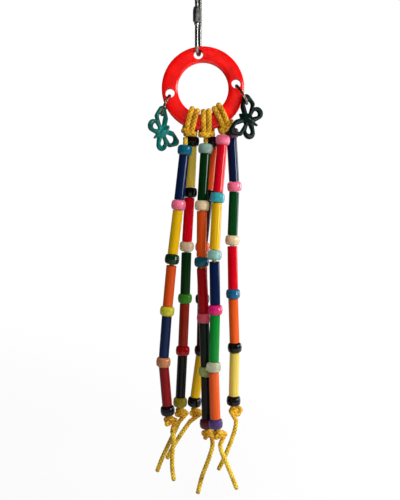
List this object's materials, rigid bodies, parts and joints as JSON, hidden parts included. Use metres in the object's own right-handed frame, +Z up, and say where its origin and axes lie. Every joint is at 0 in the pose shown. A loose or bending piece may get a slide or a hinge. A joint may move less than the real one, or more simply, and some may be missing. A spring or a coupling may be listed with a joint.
{
  "type": "hanging bird toy",
  "caption": "Hanging bird toy: quick link, moulded ring, rope strands strung with beads and tubes, and openwork butterflies on split rings.",
  "frame": {"origin": "inside top of the quick link, where it rests on whatever carries the toy", "axes": "+Z up, +X to the right of a viewer who faces the ring, and that viewer looks along +Y"},
  "size_m": [0.0736, 0.0323, 0.3381],
  "materials": {
    "link_steel": "polished",
    "nut_steel": "satin",
    "ring_plastic": "gloss",
    "rope": "braided",
    "teal_plastic": "gloss",
    "dark_green_plastic": "gloss",
    "strand_1_upper_beads": "gloss, one colour per bead",
    "strand_1_upper_tubes": "satin, one colour per tube",
    "strand_1_lower_beads": "gloss, one colour per bead",
    "strand_1_lower_tubes": "satin, one colour per tube",
    "strand_2_upper_beads": "gloss, one colour per bead",
    "strand_2_upper_tubes": "satin, one colour per tube",
    "strand_2_lower_beads": "gloss, one colour per bead",
    "strand_2_lower_tubes": "satin, one colour per tube",
    "strand_3_upper_beads": "gloss, one colour per bead",
    "strand_3_upper_tubes": "satin, one colour per tube",
    "strand_3_lower_beads": "gloss, one colour per bead",
    "strand_3_lower_tubes": "satin, one colour per tube",
    "strand_4_upper_beads": "gloss, one colour per bead",
    "strand_4_upper_tubes": "satin, one colour per tube",
    "strand_4_lower_beads": "gloss, one colour per bead",
    "strand_4_lower_tubes": "satin, one colour per tube",
    "strand_5_upper_beads": "gloss, one colour per bead",
    "strand_5_upper_tubes": "satin, one colour per tube",
    "strand_5_lower_beads": "gloss, one colour per bead",
    "strand_5_lower_tubes": "satin, one colour per tube",
    "strand_6_upper_beads": "gloss, one colour per bead",
    "strand_6_upper_tubes": "satin, one colour per tube",
    "strand_6_lower_beads": "gloss, one colour per bead",
    "strand_6_lower_tubes": "satin, one colour per tube"
  },
  "bodies": {
    "link": {"quick_link": "link_steel"},
    "nut": {"link_nut": "nut_steel"},
    "ring": {"ring": "ring_plastic", "hitch_left": "rope", "hitch_centre": "rope", "hitch_right": "rope"},
    "left_split_ring": {"left_split_ring": "link_steel"},
    "right_split_ring": {"right_split_ring": "link_steel"},
    "left_butterfly": {"left_butterfly": "teal_plastic"},
    "right_butterfly": {"right_butterfly": "dark_green_plastic"},
    "strand_1_upper": {"strand_1_upper_beads": "strand_1_upper_beads", "strand_1_upper_tubes": "strand_1_upper_tubes", "strand_1_upper_rope": "rope"},
    "strand_1_lower": {"strand_1_lower_beads": "strand_1_lower_beads", "strand_1_lower_tubes": "strand_1_lower_tubes", "strand_1_lower_rope": "rope"},
    "strand_2_upper": {"strand_2_upper_beads": "strand_2_upper_beads", "strand_2_upper_tubes": "strand_2_upper_tubes", "strand_2_upper_rope": "rope"},
    "strand_2_lower": {"strand_2_lower_beads": "strand_2_lower_beads", "strand_2_lower_tubes": "strand_2_lower_tubes", "strand_2_lower_rope": "rope"},
    "strand_3_upper": {"strand_3_upper_beads": "strand_3_upper_beads", "strand_3_upper_tubes": "strand_3_upper_tubes", "strand_3_upper_rope": "rope"},
    "strand_3_lower": {"strand_3_lower_beads": "strand_3_lower_beads", "strand_3_lower_tubes": "strand_3_lower_tubes", "strand_3_lower_rope": "rope"},
    "strand_4_upper": {"strand_4_upper_beads": "strand_4_upper_beads", "strand_4_upper_tubes": "strand_4_upper_tubes", "strand_4_upper_rope": "rope"},
    "strand_4_lower": {"strand_4_lower_beads": "strand_4_lower_beads", "strand_4_lower_tubes": "strand_4_lower_tubes", "strand_4_lower_rope": "rope"},
    "strand_5_upper": {"strand_5_upper_beads": "strand_5_upper_beads", "strand_5_upper_tubes": "strand_5_upper_tubes", "strand_5_upper_rope": "rope"},
    "strand_5_lower": {"strand_5_lower_beads": "strand_5_lower_beads", "strand_5_lower_tubes": "strand_5_lower_tubes", "strand_5_lower_rope": "rope"},
    "strand_6_upper": {"strand_6_upper_beads": "strand_6_upper_beads", "strand_6_upper_tubes": "strand_6_upper_tubes", "strand_6_upper_rope": "rope"},
    "strand_6_lower": {"strand_6_lower_beads": "strand_6_lower_beads", "strand_6_lower_tubes": "strand_6_lower_tubes", "strand_6_lower_rope": "rope"}
  },
  "joints": [
    {"name": "nut_slide", "type": "slide", "parent": "link", "child": "nut", "axis": [0, 0, 1], "range_m": [0, 0.007]},
    {"name": "ring_swing", "type": "hinge", "parent": "link", "child": "ring", "pos_m": [0, 0, -0.04785], "axis": [0, 1, 0], "range_deg": [-40, 40]},
    {"name": "left_split_ring_swing", "type": "hinge", "parent": "ring", "child": "left_split_ring", "pos_m": [-0.01819, 0, -0.07309], "axis": [0, 1, 0], "range_deg": [-2, 60]},
    {"name": "right_split_ring_swing", "type": "hinge", "parent": "ring", "child": "right_split_ring", "pos_m": [0.02414, 0, -0.06714], "axis": [0, 1, 0], "range_deg": [-60, 0]},
    {"name": "left_butterfly_swing", "type": "hinge", "parent": "left_split_ring", "child": "left_butterfly", "pos_m": [-0.02378, 0, -0.08593], "axis": [0, 1, 0], "range_deg": [-7, 8]},
    {"name": "right_butterfly_swing", "type": "hinge", "parent": "right_split_ring", "child": "right_butterfly", "pos_m": [0.0313, -0.00291, -0.07882], "axis": [0, 1, 0], "range_deg": [-1, 16]},
    {"name": "strand_1_swing", "type": "hinge", "parent": "ring", "child": "strand_1_upper", "pos_m": [-0.00838, -0.00076, -0.09835], "axis": [-0.7986, 0.6018, 0], "range_deg": [0, 45]},
    {"name": "strand_1_bend", "type": "hinge", "parent": "strand_1_upper", "child": "strand_1_lower", "pos_m": [-0.01702, -0.00568, -0.17834], "axis": [-0.7986, 0.6018, 0], "range_deg": [0, 60]},
    {"name": "strand_2_swing", "type": "hinge", "parent": "ring", "child": "strand_2_upper", "pos_m": [-0.00386, 0.00463, -0.09413], "axis": [1, 0, 0], "range_deg": [0, 60]},
    {"name": "strand_2_bend", "type": "hinge", "parent": "strand_2_upper", "child": "strand_2_lower", "pos_m": [-0.00777, 0.00597, -0.17102], "axis": [1, 0, 0], "range_deg": [0, 60]},
    {"name": "strand_3_swing", "type": "hinge", "parent": "ring", "child": "strand_3_upper", "pos_m": [0.00473, -0.00086, -0.09942], "axis": [-0.5592, 0.829, 0], "range_deg": [0, 36]},
    {"name": "strand_3_bend", "type": "hinge", "parent": "strand_3_upper", "child": "strand_3_lower", "pos_m": [0.00205, -0.00675, -0.18005], "axis": [-0.5592, 0.829, 0], "range_deg": [0, 60]},
    {"name": "strand_4_swing", "type": "hinge", "parent": "ring", "child": "strand_4_upper", "pos_m": [0.00914, 0.00472, -0.0944], "axis": [1, 0, 0], "range_deg": [0, 60]},
    {"name": "strand_4_bend", "type": "hinge", "parent": "strand_4_upper", "child": "strand_4_lower", "pos_m": [0.00264, 0.00607, -0.17135], "axis": [1, 0, 0], "range_deg": [0, 60]},
    {"name": "strand_5_swing", "type": "hinge", "parent": "ring", "child": "strand_5_upper", "pos_m": [0.01576, -0.00069, -0.09588], "axis": [-0.866, -0.5, 0], "range_deg": [0, 25]},
    {"name": "strand_5_bend", "type": "hinge", "parent": "strand_5_upper", "child": "strand_5_lower", "pos_m": [0.0102, -0.01135, -0.17517], "axis": [-0.866, -0.5, 0], "range_deg": [0, 60]},
    {"name": "strand_6_swing", "type": "hinge", "parent": "ring", "child": "strand_6_upper", "pos_m": [0.02137, 0.00443, -0.08901], "axis": [0.9563, -0.2924, 0], "range_deg": [0, 60]},
    {"name": "strand_6_bend", "type": "hinge", "parent": "strand_6_upper", "child": "strand_6_lower", "pos_m": [0.02239, 0.00448, -0.16675], "axis": [0.9563, -0.2924, 0], "range_deg": [0, 60]}
  ]
}
